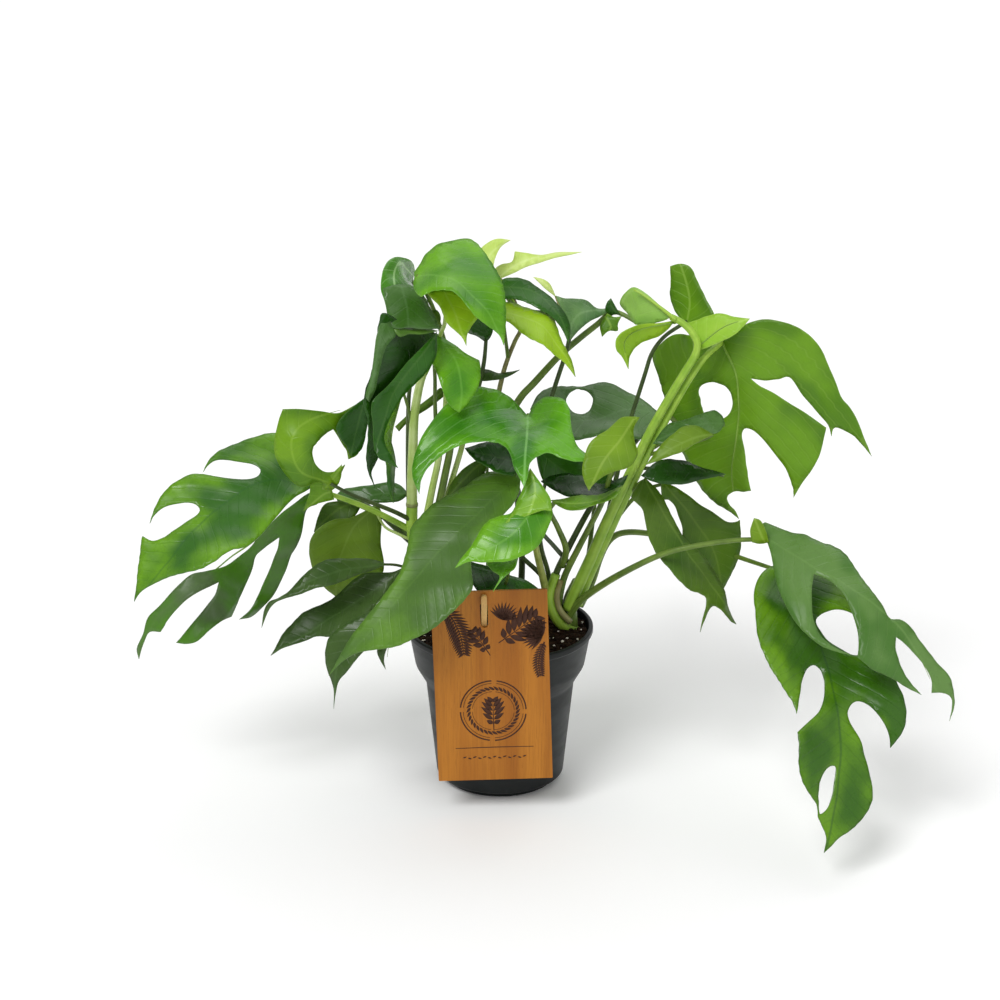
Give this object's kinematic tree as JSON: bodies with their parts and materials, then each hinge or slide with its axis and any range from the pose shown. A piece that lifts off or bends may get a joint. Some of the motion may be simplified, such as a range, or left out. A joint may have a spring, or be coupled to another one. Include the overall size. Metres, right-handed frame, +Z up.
{
  "type": "potted climbing plant",
  "caption": "Young climbing plant with split and holed leaves on three stems, in a black nursery pot with soil and a wooden label board against the rim.",
  "frame": {"origin": "centre of the pot's foot, on the floor and on the pot's axis", "axes": "+Z up along the pot's axis, -Y towards the side that the label faces, +X to that viewer's right, along the plant's greatest width"},
  "size_m": [0.5184, 0.3245, 0.3698],
  "materials": {
    "pot": "thin black nursery plastic with a soft sheen",
    "soil": "damp crumbly potting mix",
    "stem": "smooth light green stem",
    "board": "orange-brown veneer with upright grain",
    "stake": "pale bare wood",
    "leaf": "satin green blade with a paler midrib",
    "leaf_dark": "glossy deep green blade",
    "leaf_young": "soft pale young blade"
  },
  "bodies": {
    "root": {"pot": "pot", "soil": "soil", "stem_left": "stem", "stem_centre": "stem", "stem_right": "stem", "label_board": "board", "label_stake": "stake", "leaf_left_upper": "leaf", "leaf_left_lower": "leaf_dark", "leaf_left_curled": "leaf", "leaf_left_hanging": "leaf_dark", "leaf_left_strip": "leaf", "leaf_top_dome": "leaf", "leaf_top_heart": "leaf", "leaf_young_spear": "leaf_young", "leaf_young_tip": "leaf_young", "leaf_under_heart": "leaf", "leaf_small_dark": "leaf_dark", "leaf_dark_arch": "leaf_dark", "leaf_yellow_arch": "leaf", "leaf_blue_back": "leaf_dark", "leaf_bud": "leaf_young", "leaf_new_blue": "leaf", "leaf_new_light": "leaf_young", "leaf_new_curled": "leaf", "leaf_upright": "leaf", "leaf_right_big": "leaf", "leaf_centre_split": "leaf", "leaf_front_olive": "leaf_dark", "leaf_front_small": "leaf", "leaf_front_lobe": "leaf", "leaf_front_dark": "leaf_dark", "leaf_dark_hole": "leaf_dark", "leaf_yellow_right": "leaf", "leaf_dark_spear": "leaf_dark", "leaf_light_right": "leaf", "leaf_dark_lobe": "leaf_dark", "leaf_lower_split": "leaf", "leaf_lower_round": "leaf", "leaf_right_upper": "leaf_dark", "leaf_right_lower": "leaf", "leaf_left_round": "leaf_dark", "leaf_left_spear": "leaf_dark", "leaf_low_spear": "leaf_dark", "leaf_low_fold": "leaf_dark", "leaf_low_small": "leaf_dark", "leaf_left_under": "leaf_dark", "leaf_left_back": "leaf_dark", "leaf_mid_bright": "leaf", "leaf_back_spear": "leaf_dark", "leaf_behind_a": "leaf_dark", "leaf_behind_b": "leaf_dark", "leaf_blue_low": "leaf_dark", "leaf_edge_green": "leaf", "leaf_back_left": "leaf", "leaf_back_middle": "leaf", "leaf_back_right": "leaf"}
  },
  "joints": []
}
